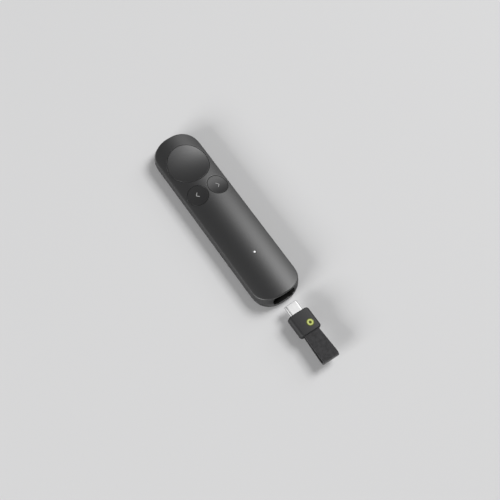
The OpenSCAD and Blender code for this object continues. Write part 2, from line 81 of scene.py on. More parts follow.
# Pad let into it: its margin and foot's edge, and the margin, width and depth of the channel in it
_, (PAD_W, _, PAD_TOP) = span("base_pad")
PAD_IN, PAD_FOOT = HALF_W - PAD_W, 0.22
CHANNEL_IN, CHANNEL_W, CHANNEL_DEEP = 4.3, 0.44, 0.14

# Screws that hold the covers together and the board to the top cover. Their bosses: the heights where they
# end, their radius, their hole's, how far they go into the ceiling, and how far from the middle that is taken
COVER_SCREWS = [(side * x, y) for side in (-1, 1) for x, y in ((9.6, -42.9), (9.6, 2.0), (7.8, 51.75))]
BOARD_SCREWS = [(side * 9.3, y) for side in (-1, 1) for y in (-37.2, 7.7)]
COVER_BOSS_Z, BOARD_BOSS_Z, BOSS_R, THREAD_R, BOSS_SUNK, BOSS_SIDE = 3.5, 5.35, 1.6, 0.78, 0.25, 1.7
# Feet of the bottom cover that take the screws' heads: foot, shank and head radius, and the head's seat
FOOT_R, SHANK_R, HEAD_R, HEAD_Z = 2.2, 0.85, 1.5, 2.05

# Receiver: its tail and front, half its width and thickness, and the height of its middle
(_, RECEIVER_TAIL, DOCK_Z), (RECEIVER_W, RECEIVER_FRONT, RECEIVER_TOP) = span("receiver_upper")
RECEIVER_H = np.round(RECEIVER_TOP - DOCK_Z, 3)
# Radius of its long edges, of its corners in plan and of the edges of its faces, and the drop of its face
LONG_R, CORNER_R, FACE_R, FACE_DROP = 2.4, 1.4, 0.4, 0.46
# Its openings, each half a width, half a height and a corner radius: for the plug, board and strap
PLUG_SLOT, BOARD_ROOM, STRAP_GAP = (4.25, 1.35, 1.3), (6.0, 2.0, 0.3), (5.4, 1.886, 0.25)
# Places along it: the front and back of the board's room, and the end of the strap's opening
ROOM_FRONT, ROOM_BACK, GAP_END = RECEIVER_FRONT - 1.2, RECEIVER_TAIL + 4.5, RECEIVER_TAIL + 3.9

# Plug's shell: its inner end and tip, half its width and thickness, its edge radius and its wall
(_, PLUG_END, _), (PLUG_W, PLUG_TIP, PLUG_TOP) = span("plug_shell")
PLUG_H, PLUG_R, PLUG_WALL = np.round(PLUG_TOP - DOCK_Z, 3), 1.2, 0.25

# Badge: its place, the heights of its two sides, its radius, and the radius and depth of its seat
BADGE = middle("badge")[:2]
(_, _, BADGE_Z), (_, _, BADGE_TOP) = span("badge")
BADGE_R, SEAT_R, SEAT_DEEP = 2.25, 2.28, 0.5

# Dock mouth: half its width and height and its corner radius, with a clearance round the receiver, and
# the place along Y where its bore ends
DOCK_GAP = 0.3
MOUTH = [np.round(size + DOCK_GAP, 3) for size in (RECEIVER_W, RECEIVER_H, LONG_R)]
DOCK_IN = span("dock_sleeve")[0][1]
# Its rounded rim's width and depth, where the painted shade in the bore begins, and how soon it is full
MOUTH_RIM, RIM_DEEP, BORE_SHADE_Y, BORE_SHADE_FADE = 0.26, 0.45, -59.3, 0.35

# Strap: half its width, its thickness, and the radius of its fold round the pin and at its loose end
(_, STRAP_END, STRAP_LOW), (STRAP_W, _, STRAP_TOP) = span("strap")
STRAP_T, PIN_FOLD = 0.9, 1.10
END_FOLD = (STRAP_TOP - STRAP_LOW) / 2 - STRAP_T / 2
# Middles of the two folds, the radius of its edges, and the share by which it is narrower at the pin
PIN_Y, END_Y = middle("strap_pin")[1], STRAP_END + END_FOLD + STRAP_T / 2
STRAP_EDGE, NARROW = 0.3, 0.085
# Length of a pair of ribs, and distance from thread to thread, in its weave
RIB, THREAD = 0.55, 0.42

# Buttons: how far their catches reach past the rim, the gap round them and the radius of their rims
CATCH, BUTTON_GAP, BUTTON_RIM = 0.7, 0.15, 0.2
# Undersides of the caps, the foot of their posts, the radius of posts and guide pins, and the pins' x
POINTER_UNDER, SMALL_UNDER = 8.95, 8.8
POST_FOOT = span("pointer_button")[0][2]
POST_R, GUIDE_R, GUIDE_X = 1.4, 1.0, 8.5


def button(name, dish):
    """A button's x and y, radius and depth of hollow. Its stem stands at its middle, and along Y its catches
    reach past its radius at both ends."""
    low, high = span(name + "_button")
    radius = np.round((high[1] - low[1]) / 2 - CATCH, 3)
    return middle(name + "_stem")[0], middle(name + "_button")[1], radius, dish


POINTER, BACK, NEXT = button("pointer", 1.7), button("back", 0.7), button("next", 0.7)

# Status light: its place and foot, its rod's and flange's radius, and the heights of the flange's sides
LIGHT, ROD_FOOT = middle("light_pipe")[:2], span("light_pipe")[0][2]
ROD_R, FLANGE_R, FLANGE_Z, FLANGE_TOP = 0.6, 1.6, 9.5, 10.1
# Radius of the hole for it in the cover and of its boss's hole, and the height of the boss's upper end
LIGHT_HOLE, LIGHT_BOSS, LIGHT_BOSS_TOP = 0.65, 0.66, 11.25


# ---------- surfaces ----------

# Creases sharper than this many degrees stay sharp. Points closer than JOIN metres become one, and edges
# shorter than SPECK metres go. Points of a flat outline closer than SAME millimetres are the same.
CREASE, JOIN, SPECK, SAME = 32.0, 2e-6, 1e-7, 1e-7
# Distance between rows of loose points, as a share of the distance along a row
ROW = 0.866
# Keeps a division by nothing finite
TINY = 1e-12
# Steps across the crown's rounded edge, across a rim and across a small slope
EDGE_STEPS, RIM_STEPS, SLOPE_STEPS = 6, 5, 3


class Skin:
    """The sheets that make up one piece's surface. Points are in millimetres, and sheets meet where their
    points are the same. A mark of 0 to 1 at each point says where its second finish or colour goes."""

    def __init__(self):
        self.points, self.faces, self.marks, self.uvs, self.count = [], [], [], [], 0

    def add(self, points, faces, mark=0.0, uv=None):
        """One more sheet, its faces given as rows of its own point numbers."""
        points = np.asarray(points, float).reshape(-1, 3)
        self.points.append(points)
        self.faces.append(np.asarray(faces, int) + self.count)
        self.marks.append(np.broadcast_to(np.ravel(mark), len(points)).astype(float))
        self.uvs.append(np.zeros((len(points), 2)) if uv is None else uv.reshape(-1, 2))
        self.count += len(points)

    def grid(self, rows, mark=0.0, uv=None, closed=False):
        """A sheet of rows of points, each row joined to the next. closed joins each to its own start too."""
        p = np.asarray(rows)
        a, b = p.shape[:2]
        i, j = np.meshgrid(np.arange(a - 1), np.arange(b if closed else b - 1), indexing="ij")
        k, m = i + 1, (j + 1) % b
        self.add(p, np.stack([i * b + j, k * b + j, k * b + m, i * b + m], -1).reshape(-1, 4), mark, uv)

    def hoops(self, rows, mark=0.0, uv=None):
        """A sheet of closed rows of points."""
        self.grid(rows, mark, uv, closed=True)

    def fill(self, loops, loose, lift, mark=0.0, gap=0.28):
        """Triangles between closed outlines, the outer one first, through the loose points that are further
        than gap from them. All are flat places a, b, which lift(a, b) puts on the surface."""
        inside = np.ones(len(loose), bool)
        edges, first = [], 0
        for n, loop in enumerate(loops):
            inside &= (within(loose, loop) == (n == 0)) & (away(loose, loop) > gap)
            r = np.arange(len(loop))
            edges.append(np.stack([r, (r + 1) % len(loop)], 1) + first)
            first += len(loop)
        flat_points = [Vector(v) for v in np.vstack([*loops, loose[inside]])]
        out = delaunay_2d_cdt(flat_points, np.vstack(edges).tolist(), [], 0, SAME, False)
        place = np.array([tuple(v) for v in out[0]])
        tri = np.array(out[2])
        centre = place[tri].mean(1)
        keep = np.ones(len(tri), bool)
        for n, loop in enumerate(loops):
            keep &= within(centre, loop) == (n == 0)
        self.add(lift(place[:, 0], place[:, 1]), tri[keep], mark)

    def lid(self, loop, mark=0.0):
        """A flat closed outline filled by smaller copies of itself, down to a point at its middle."""
        shares = np.array([0.0, 0.5, 1.0])[:, None, None]
        self.hoops(loop.mean(0) + shares * (loop - loop.mean(0)), mark)

    def prism(self, outline, z0, z1, bevel, mark=0.0):
        """A flat outline carried up from z0 to z1, with small slopes at both ends, and closed."""
        centre = outline.mean(0)
        small = centre + (outline - centre) * (1 - bevel / np.abs(outline - centre).max(0))
        ends = ((small, z0), (outline, z0 + bevel), (outline, z1 - bevel), (small, z1))
        rows = [np.column_stack([q, np.full(len(q), z)]) for q, z in ends]
        self.hoops(rows, mark)
        self.lid(rows[0], mark)
        self.lid(rows[3], mark)

    def turned(self, profile, at, count, mark=0.0):
        """A profile of (radius, height) carried round an upright line at a place in plan."""
        profile = np.asarray(profile, float)
        a = 2 * np.pi * np.arange(count) / count
        p = np.empty((len(profile), count, 3))
        p[..., 0] = at[0] + profile[:, :1] * np.cos(a)
        p[..., 1] = at[1] + profile[:, :1] * np.sin(a)
        p[..., 2] = profile[:, 1:]
        self.hoops(p, mark if np.isscalar(mark) else np.repeat(mark, count))

    def move(self, scale, shift):
        """Every point so far, with each of its coordinates scaled and then shifted."""
        self.points = [p * scale + shift for p in self.points]

    def make(self, name, body, nodes, finishes, slot):
        """The finished mesh in metres: sheets joined, faces outward, smooth but for its creases. It rides on
        a body and stands for CAD nodes. A second finish goes on the faces whose mark is over a half."""
        mesh = bpy.data.meshes.new(name)
        faces = [face for block in self.faces for face in block.tolist()]
        mesh.from_pydata((np.vstack(self.points) * MM).tolist(), [], faces)
        marks = np.concatenate(self.marks)
        if len(finishes) > 1:
            second = np.concatenate([marks[block].mean(1) > 0.5 for block in self.faces])
            mesh.polygons.foreach_set("material_index", second.astype(np.int32))
        corners = np.empty(len(mesh.loops), np.int32)
        mesh.loops.foreach_get("vertex_index", corners)
        uv = mesh.uv_layers.new(name="UVMap")
        uv.data.foreach_set("uv", np.vstack(self.uvs)[corners].astype(np.float32).ravel())
        mesh.attributes.new("mark", "FLOAT", "POINT").data.foreach_set("value", marks.astype(np.float32))
        bm = bmesh.new()
        bm.from_mesh(mesh)
        bmesh.ops.remove_doubles(bm, verts=bm.verts, dist=JOIN)
        bmesh.ops.dissolve_degenerate(bm, edges=bm.edges, dist=SPECK)
        bmesh.ops.recalc_face_normals(bm, faces=bm.faces)
        bm.to_mesh(mesh)
        bm.free()
        mesh.shade_smooth()
        mesh.set_sharp_from_angle(angle=np.radians(CREASE))
        piece = bpy.data.objects.new(name, mesh)
        bpy.context.scene.collection.objects.link(piece)
        for finish in finishes:
            mesh.materials.append(finish)
        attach(piece, body)
        if nodes:
            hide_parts(*nodes)


def within(p, q):
    """Which points p lie inside the closed outline q, by counting the outline's edges to one side."""
    x, y = p[:, 0][:, None], p[:, 1][:, None]
    ax, ay = q[:, 0], q[:, 1]
    bx, by = np.roll(ax, -1), np.roll(ay, -1)
    rise = np.where(by == ay, TINY, by - ay)
    crossed = ((ay > y) != (by > y)) & (x < (bx - ax) * (y - ay) / rise + ax)
    return crossed.sum(1) % 2 == 1


def away(p, q):
    """Distance of each point p from the closed outline q."""
    d = np.roll(q, -1, 0) - q
    t = np.clip(((p[:, None] - q) * d).sum(-1) / np.maximum((d * d).sum(-1), TINY), 0, 1)
    return np.sqrt(((p[:, None] - q - t[..., None] * d) ** 2).sum(-1)).min(1)


def scatter(half_x, low_y, high_y, step):
    """Loose points in even rows from -half_x to half_x, every second row set over by half a step."""
    x, y = np.meshgrid(np.arange(-half_x, half_x, step), np.arange(low_y, high_y, step * ROW))
    x = x + (np.arange(y.shape[0]) % 2)[:, None] * step / 2
    return np.stack([x.ravel(), y.ravel()], 1)


def ring(x, y, r, count):
    """Points evenly round a circle about a place."""
    a = 2 * np.pi * np.arange(count) / count
    return np.stack([x + r * np.cos(a), y + r * np.sin(a)], 1)


def spread(p, count):
    """count + 1 points evenly along the open line p."""
    d = np.concatenate([[0], np.cumsum(np.sqrt((np.diff(p, axis=0) ** 2).sum(1)))])
    s = np.linspace(0, d[-1], count + 1)
    return np.stack([np.interp(s, d, p[:, k]) for k in range(p.shape[1])], 1)


def between(p, q, count):
    """count rows of points, evenly from p to q."""
    t = np.linspace(0, 1, count).reshape(-1, *([1] * p.ndim))
    return p * (1 - t) + q * t


def bow(p0, p1, p2, steps):
    """Rounded edge from p0 to p2 that leaves each along the line to the corner p1: a curve of the second
    degree."""
    t = np.linspace(0, 1, steps + 1).reshape(-1, *([1] * p0.ndim))
    return (1 - t) ** 2 * p0 + 2 * t * (1 - t) * p1 + t ** 2 * p2


def round_rect(w, h, r, corner, side):
    """Outline of a rectangle with round corners, half sizes w and h, from the top of its right side. corner
    and side are the steps round a corner, along the top and along a side."""
    arcs = []
    for k, (sx, sy) in enumerate([(1, 1), (-1, 1), (-1, -1), (1, -1)]):
        a = np.pi / 2 * (k + np.linspace(0, 1, corner + 1))
        arcs.append(np.stack([sx * (w - r) + r * np.cos(a), sy * (h - r) + r * np.sin(a)], 1))
    out = []
    for k, arc in enumerate(arcs):
        t = np.linspace(0, 1, side[k % 2] + 1)[1:-1, None]
        out += [arc, arc[-1] * (1 - t) + arcs[(k + 1) % 4][0] * t]
    return np.vstack(out)


# ---------- form of the body ----------

# Steps along a straight side and round an end, and the fine steps that those are measured on
SIDE_STEPS, CAP_STEPS, FINE = 62, 84, 2001


def crown(x, drop=0.0):
    """Height of the crowned top: a round bar along Y, its radius less by drop."""
    return HEIGHT - CROWN_R + np.sqrt((CROWN_R - drop) ** 2 - np.asarray(x, float) ** 2)


def plan(margin):
    """Plan of the body, drawn in: straight sides, and ends whose x and y, over their half sizes, have powers
    that sum to 1."""
    w, c, y0 = HALF_W - margin, CAP_L - margin, HALF_L - CAP_L
    a = np.linspace(0, np.pi, FINE)
    x = np.sign(np.cos(a)) * np.abs(np.cos(a)) ** (2 / CAP_POWER) * w
    top = spread(np.stack([x, y0 + np.sin(a) ** (2 / CAP_POWER) * c], 1), CAP_STEPS)[:-1]
    left = spread(np.array([[-w, y0], [-w, -y0]]), SIDE_STEPS)[:-1]
    return np.vstack([top, left, -top, -left])


def level(margin, z):
    """The plan drawn in by a margin, at one height or at a height for each of its points."""
    outline = plan(margin)
    return np.column_stack([outline, np.broadcast_to(z, len(outline))])


def lean(z):
    """Share of the chin's set-back that a height has reached: none below the chin, all above it, and a
    smooth slope between."""
    t = np.clip((np.asarray(z, float) - CHIN_Z) / (CHIN_TOP - CHIN_Z), 0, 1)
    return t * t * (3 - 2 * t)


def at_height(p, z, margin=0.0):
    """Plan points at a height z: the rounded ends are shortened by the chin's set-back, and the straight
    sides stay."""
    y0, c = HALF_L - CAP_L, CAP_L - margin
    y = np.abs(p[..., 1])
    y = np.where(y > y0, y0 + (y - y0) * (c - CHIN_IN * lean(z)) / c, y)
    return np.stack([np.broadcast_to(p[..., 0], y.shape), np.sign(p[..., 1]) * y], -1)


def inward(p, d):
    """A closed outline moved in by d along its own normals, worked out from each point's neighbours."""
    t = np.roll(p, -1, 0) - np.roll(p, 1, 0)
    n = np.stack([-t[:, 1], t[:, 0]], 1)
    return p + n / np.linalg.norm(n, axis=1)[:, None] * d


def flat(z):
    """Puts flat places x, y at one height."""
    return lambda x, y: np.column_stack([x, y, np.full_like(x, z)])


def standing(y):
    """Puts flat places x, z on an upright plane across the body."""
    return lambda x, z: np.column_stack([x, np.full_like(x, y), z])


def on_crown(x, y):
    """Puts flat places on the crown."""
    return np.column_stack([x, y, crown(x)])


def on_ceiling(x, y):
    """Puts flat places on the ceiling, which is the crown lowered by the wall's thickness."""
    return np.column_stack([x, y, crown(x, WALL)])


def on_wall(x, z):
    """Puts flat places on the outside of the dock end's wall: the plan's rounded end, drawn in by height."""
    reach = (1 - np.minimum(np.abs(x) / HALF_W, 1) ** CAP_POWER) ** (1 / CAP_POWER)
    return np.column_stack([x, -(HALF_L - CAP_L + (CAP_L - CHIN_IN * lean(z)) * reach), z])


# ---------- top cover ----------

# Points round each button's hole, round the status light's and round a boss
HOLES, LIGHT_POINTS, BOSS_POINTS = [(POINTER, 168), (BACK, 108), (NEXT, 108)], 28, 32
# Rows up the outside and the inside of the wall, along the bore of the dock and down the side of a hole
WALL_ROWS, ROOM_ROWS, BORE_ROWS, HOLE_ROWS = 27, 15, 13, 4
# Half the width of the wall that is filled round the mouth, and points across the dock's inner face
MOUTH_SIDE, ACROSS = 8.55, 40
# Steps round a corner of the mouth, and along its top and side
MOUTH_STEPS = 12, (16, 4)
# Rounded rims of the button holes and of the status light's hole: how wide, and how deep
HOLE_RIM, LIGHT_RIM = 0.22, 0.08
# Nets of loose points that faces are filled through: half their width, their two ends and their step
CROWN_NET, CEILING_NET, JOINT_NET = (14.2, -58.4, 58.4, 0.75), (13, -56, 58, 1.6), (14, -60, -55, 1.5)
MOUTH_NET, DOCK_NET = (9, SPLIT_Z, HEIGHT, 0.4), (9, SPLIT_Z, 12, 1.2)
# An even ring of loose points round each hole: its distance from it, and its share of the hole's points
HALO, HALO_SHARE = 0.55, 0.8


def cover_wall(skin):
    """Outside of the wall: the plan carried up with its ends drawn in by height, a rounded edge to the
    crown, and a small slope at the joint. Gives back the wall's rows and the crown's outline."""
    base = plan(0)
    top_z = crown(base[:, 0])
    corner, under = at_height(base, top_z), at_height(base, top_z - EDGE_R)
    outline = inward(corner, EDGE_R)
    foot = on_crown(*under.T) - [0, 0, EDGE_R]
    skin.hoops(bow(on_crown(*outline.T), on_crown(*corner.T), foot, EDGE_STEPS))
    up = np.linspace(1, 0, WALL_ROWS)[:, None]
    z = SPLIT_Z + SEAM + (top_z - EDGE_R - SPLIT_Z - SEAM) * up
    wall = np.concatenate([at_height(np.broadcast_to(base, (WALL_ROWS, *base.shape)), z), z[..., None]], -1)
    skin.hoops(bow(wall[-1], level(0, SPLIT_Z), level(SEAM, SPLIT_Z), SLOPE_STEPS))
    return wall, outline


def dock_mouth(skin, wall):
    """The wall goes round from one side of the mouth to the other, and the mouth's own stretch is filled
    round its rounded rim. The bore runs straight in from the rim, and a little way in it is painted dark as
    shade. Gives back the mouth's outline."""
    base = plan(0)
    n = len(base)
    low = np.argmin(np.hypot(base[:, 0], base[:, 1] + HALF_L))
    half = np.argmax(np.abs(np.roll(base[:, 0], -low)) >= MOUTH_SIDE)
    skin.grid(wall[:, np.arange(low + half, low - half + n + 1) % n])
    cols = np.arange(low - half, low + half + 1) % n
    border = np.vstack([
        wall[-1, cols], wall[::-1, cols[-1]][1:], wall[0, cols[::-1]][1:], wall[:, cols[0]][1:-1]])
    mouth = round_rect(*MOUTH, *MOUTH_STEPS) + [0, DOCK_Z]
    wide = round_rect(*[size + MOUTH_RIM for size in MOUTH], *MOUTH_STEPS) + [0, DOCK_Z]
    skin.fill([border[:, [0, 2]], wide], scatter(*MOUTH_NET), on_wall)
    face = on_wall(*mouth.T)
    behind = face + [0, RIM_DEEP, 0]
    skin.hoops(bow(on_wall(*wide.T), face, behind, RIM_STEPS))
    bore = between(behind, standing(DOCK_IN)(*mouth.T), BORE_ROWS)
    # A little way in, the bore's mark gives it the dark finish: painted shade inside the mouth.
    skin.hoops(bore, np.clip((bore[..., 1] - BORE_SHADE_Y) / BORE_SHADE_FADE, 0, 1))
    return mouth


def hole(skin, x, y, r, rim, steps, count):
    """Rounded rim of a round hole in the crown. Gives back the outlines at its inner and its outer side, and
    the rim's lower end."""
    inner, outer = ring(x, y, r, count), ring(x, y, r + rim, count)
    foot = on_crown(*inner.T) - [0, 0, rim]
    skin.hoops(bow(on_crown(*outer.T), on_crown(*inner.T), foot, steps))
    return inner, outer, foot


def cover_top(skin, outline):
    """Top: the crown over the plan, round the holes, whose sides go straight down to the ceiling. Those of
    the buttons' holes are painted dark by half way down, as shade. Gives back the holes' outlines."""
    loops, loose, holes = [outline], [scatter(*CROWN_NET)], []
    for (x, y, r, _), count in HOLES:
        inner, outer, foot = hole(skin, x, y, r + BUTTON_GAP, HOLE_RIM, RIM_STEPS, count)
        loops.append(outer)
        holes.append(inner)
        loose.append(ring(x, y, r + BUTTON_GAP + HALO, int(count * HALO_SHARE)))
        # The sides of the buttons' holes take the dark finish by half way down: painted shade in the gap
        # round the caps.
        dark = np.clip(2 * np.linspace(0, 1, HOLE_ROWS), 0, 1)
        skin.hoops(between(foot, on_ceiling(*inner.T), HOLE_ROWS), np.repeat(dark, count))
    inner, outer, foot = hole(skin, *LIGHT, LIGHT_HOLE, LIGHT_RIM, SLOPE_STEPS, LIGHT_POINTS)
    skin.hoops([foot, on_ceiling(*inner.T)])
    skin.fill(loops + [outer], np.vstack(loose), on_crown)
    return holes + [inner]


def cover_inside(skin, holes, mouth):
    """Inside: the plan drawn in by the wall's thickness and carried up to the ceiling, closed at the dock by
    a flat face round the mouth, and by the joint's face below."""
    room = plan(WALL)
    kept = room[:, 1] > DOCK_IN
    order = np.roll(np.arange(len(room)), -np.argmax(~kept))
    w, c = HALF_W - WALL, CAP_L - WALL
    xe = w * (1 - ((-DOCK_IN - (HALF_L - CAP_L)) / c) ** CAP_POWER) ** (1 / CAP_POWER)
    line = np.vstack([[xe, DOCK_IN], room[order[kept[order]]], [-xe, DOCK_IN]])
    z = SPLIT_Z + (crown(line[:, 0], WALL) - SPLIT_Z) * np.linspace(0, 1, ROOM_ROWS)[:, None]
    sweep = np.broadcast_to(line, (ROOM_ROWS, len(line), 2))
    # Only the button end leans in. At the dock end the room's sides are upright.
    drawn = at_height(sweep, np.where(line[:, 1] > 0, z, 0), WALL)
    skin.grid(np.concatenate([drawn, z[..., None]], -1), mark=1)
    across = np.linspace(-xe, xe, ACROSS)
    shut = np.column_stack([across[1:-1], np.full(ACROSS - 2, DOCK_IN)])
    skin.fill([np.vstack([drawn[-1], shut])] + holes, scatter(*CEILING_NET), on_ceiling, mark=1)
    skin.fill([plan(SEAM), np.vstack([drawn[0], shut])], scatter(*JOINT_NET), flat(SPLIT_Z))
    side = np.full(ROOM_ROWS - 2, xe)
    border = np.vstack([
        np.column_stack([across, np.full(ACROSS, SPLIT_Z)]),
        np.column_stack([side, z[1:-1, 0]]),
        np.column_stack([across[::-1], crown(across[::-1], WALL)]),
        np.column_stack([-side, z[1:-1, -1][::-1]])])
    skin.fill([border, mouth], scatter(*DOCK_NET), standing(DOCK_IN), mark=1)


def boss(skin, at, inner, low, high):
    """A tube that hangs from the ceiling at a place in plan, between two heights."""
    tube = [(inner, high), (inner, low), (BOSS_R, low), (BOSS_R, high), (inner, high)]
    skin.turned(tube, at, BOSS_POINTS, mark=1)


def top_cover():
    """Crowned shell with its dock mouth, its holes for the buttons and the status light, and the bosses for
    the screws and the light's rod inside."""
    skin = Skin()
    wall, outline = cover_wall(skin)
    mouth = dock_mouth(skin, wall)
    holes = cover_top(skin, outline)
    cover_inside(skin, holes, mouth)
    for places, low in ((COVER_SCREWS, COVER_BOSS_Z), (BOARD_SCREWS, BOARD_BOSS_Z)):
        for x, y in places:
            boss(skin, (x, y), THREAD_R, low, float(crown(abs(x) + BOSS_SIDE, WALL)) + BOSS_SUNK)
    boss(skin, LIGHT, LIGHT_BOSS, FLANGE_TOP, LIGHT_BOSS_TOP)
    return skin


# ---------- base ----------

# Rows round the lower edge, and points round a screw's foot
QUARTER_ROWS, FOOT_POINTS = 13, 40
# Nets for the floor, the recess, the pad's foot and its top
FLOOR_NET, RECESS_NET = (12, -57, 57, 2.4), (11, -56, 56, 2.4)
PAD_NET, PAD_TOP_NET = (10, -56, 56, 2.0), (12, -57, 57, 3.0)


def bottom_cover():
    """Lower shell. Outside: the plan drawn in by a quarter of an oval from the joint down to the rim.
    Inside: the centring lip, the floor, the screws' feet and two ribs under the dock."""
    skin = Skin()
    quarter = np.linspace(0, np.pi / 2, QUARTER_ROWS)
    rows = [level(EDGE_IN * (1 - np.sin(a)), RIM_Z + (SPLIT_Z - RIM_Z) * (1 - np.cos(a))) for a in quarter]
    rows[-1][:, 2] = SPLIT_Z - SEAM
    skin.hoops(rows)
    skin.hoops(bow(rows[-1], level(0, SPLIT_Z), level(SEAM, SPLIT_Z), SLOPE_STEPS))
    ramp, ledge, slope, rise = 0.4, 0.7, 0.1, 0.001
    raised = np.clip((plan(LIP_OUT)[:, 1] - LIP_START) / ramp, 0, 1)
    lip = SPLIT_Z + (LIP_TOP - SPLIT_Z) * raised
    crest = lip + rise * raised
    steps = [
        (SEAM, SPLIT_Z), (ledge, SPLIT_Z), (LIP_OUT, SPLIT_Z), (LIP_OUT, lip), (LIP_OUT + slope, crest),
        (LIP_IN - slope, crest), (LIP_IN, lip), (LIP_IN, (lip + FLOOR_Z) / 2), (LIP_IN, FLOOR_Z)]
    skin.hoops([level(margin, z) for margin, z in steps], mark=1)
    feet = [ring(x, y, FOOT_R, FOOT_POINTS) for x, y in COVER_SCREWS]
    skin.fill([plan(LIP_IN)] + feet, scatter(*FLOOR_NET), flat(FLOOR_Z), mark=1)
    foot = [(FOOT_R, FLOOR_Z), (FOOT_R, SPLIT_Z), (SHANK_R, SPLIT_Z), (SHANK_R, HEAD_Z), (HEAD_R, HEAD_Z),
            (HEAD_R, PAD_TOP)]
    for place in COVER_SCREWS:
        skin.turned(foot, place, FOOT_POINTS, mark=1)
    heads = [ring(x, y, HEAD_R, FOOT_POINTS) for x, y in COVER_SCREWS]
    skin.fill([plan(RECESS)] + heads, scatter(*RECESS_NET), flat(PAD_TOP), mark=1)
    lead = 0.12
    recess = [(RECESS, PAD_TOP), (RECESS, RIM_Z + lead), (RECESS - lead / 2, RIM_Z + lead / 4),
              (RECESS - lead, RIM_Z)]
    skin.hoops([level(margin, z) for margin, z in recess] + [rows[0]])
    for y in DOCK_RIBS:
        skin.prism(round_rect(*DOCK_RIB, 3, (6, 1)) + [0, y], *DOCK_RIB_Z, slope, mark=1)
    return skin


def base_pad():
    """Rubber pad let into the base: its plan carried up, with a rounded foot edge, and a shallow channel a
    little inside it whose section is a smooth dip."""
    skin = Skin()
    foot = level(PAD_IN + PAD_FOOT, 0.0)
    skin.hoops(bow(foot, level(PAD_IN, 0.0), level(PAD_IN, PAD_FOOT), RIM_STEPS))
    skin.hoops([level(PAD_IN, PAD_FOOT), level(PAD_IN, PAD_TOP)])
    across = CHANNEL_W * np.array([0, 3, 6, 11, 16, 19, 22]) / 22
    depth = CHANNEL_DEEP * np.array([0, 1, 5, 7, 5, 1, 0]) / 7
    skin.hoops([foot] + [level(CHANNEL_IN + w, z) for w, z in zip(across, depth)])
    skin.fill([plan(CHANNEL_IN + CHANNEL_W)], scatter(*PAD_NET), flat(0.0))
    skin.fill([plan(PAD_IN)], scatter(*PAD_TOP_NET), flat(PAD_TOP))
    return skin


# ---------- buttons ----------

def hollow_top(cap, x, y):
    """Height of a button's face: the crown, less a hollow that is deepest in the middle and runs out with
    the square of the distance."""
    bx, by, r, dish = cap
    far = ((x - bx) ** 2 + (y - by) ** 2) / (r + BUTTON_GAP) ** 2
    return crown(x) - dish * (1 - far)


def post(skin, at, r, under, count):
    """A round post with a small slope at its foot, from a little inside the cap down."""
    sunk, slope = 0.3, 0.15
    top = under + sunk
    profile = [(0, top), (r, top), (r, POST_FOOT + slope), (r - slope, POST_FOOT), (0, POST_FOOT)]
    skin.turned(profile, at, count)


def button_cap(cap, under, guides=()):
    """Round button: its face over rings about its middle, a rounded rim, its side and underside, and its
    post, guide pins and catches below."""
    skin = Skin()
    bx, by, r, _ = cap
    # A large cap has more points round it and more rings than a small one.
    large = 8
    count, rings = (168, 34) if r > large else (112, 22)
    a = 2 * np.pi * np.arange(count) / count

    def at_radius(radius, drop=0.0):
        x, y = bx + radius * np.cos(a), by + radius * np.sin(a)
        return np.stack([x, y, hollow_top(cap, x, y) - drop], -1)

    skin.hoops(at_radius((r - BUTTON_RIM) * np.linspace(0, 1, rings)[:, None]))
    side = at_radius(r, BUTTON_RIM)
    skin.hoops(bow(at_radius(r - BUTTON_RIM), at_radius(r), side, RIM_STEPS))
    foot = flat(under)(*side[:, :2].T)
    skin.hoops([side, foot])
    skin.lid(foot)
    post(skin, (bx, by), POST_R, under, 32)
    for guide_x in guides:
        post(skin, (bx + guide_x, by), GUIDE_R, under, 24)
    half_x, half_y, corner, slope, spare = 1.5, 0.65, 0.15, 0.06, 0.1
    top = float(crown(abs(bx) + half_x, WALL)) - spare
    for end in (-1, 1):
        catch = round_rect(half_x, half_y, corner, 3, (3, 2)) + [bx, by + end * (r + CATCH - half_y)]
        skin.prism(catch, under, top, slope)
    return skin


def arrow_mark(cap, place, point):
    """Printed arrow head on a button's face: two strokes of even width, round at their ends, that meet at a
    point and bulge a little, laid a hair above the face."""
    skin = Skin()
    half, arm, wide, bulge, above, below = 0.17, 1.38, 0.62, 0.01, 0.02, -0.05
    reach, step, gap = 2, 0.12, 0.06
    d = np.array([-2 * wide * point, arm])
    d /= np.linalg.norm(d)
    side = np.array([d[1], -d[0]]) * point
    tip, end = np.array([wide * point, 0.0]), np.array([-wide * point, arm])
    turn = np.linspace(0, np.pi, 9)[:, None]
    cap_end = end + half * (np.cos(turn) * side + np.sin(turn) * d)
    tick = [half / abs(d[1]) * point, 0.0]
    near = bow(tip + tick, (tip + tick + cap_end[0]) / 2 + side * bulge, cap_end[0], EDGE_STEPS)[:-1]
    far = bow(cap_end[-1], (tip - tick + cap_end[-1]) / 2 - side * bulge, tip - tick, EDGE_STEPS)[1:]
    upper = np.vstack([near, cap_end, far])
    line = np.vstack([upper, (upper * [1, -1])[1:-1][::-1]]) + place
    loose = scatter(reach, -reach, reach, step) + place

    def laid(up):
        return lambda x, y: np.column_stack([x, y, hollow_top(cap, x, y) + up])

    skin.fill([line], loose, laid(above), gap=gap)
    skin.fill([line], loose[:0], laid(below))
    skin.hoops([laid(above)(*line.T), laid(below)(*line.T)])
    return skin


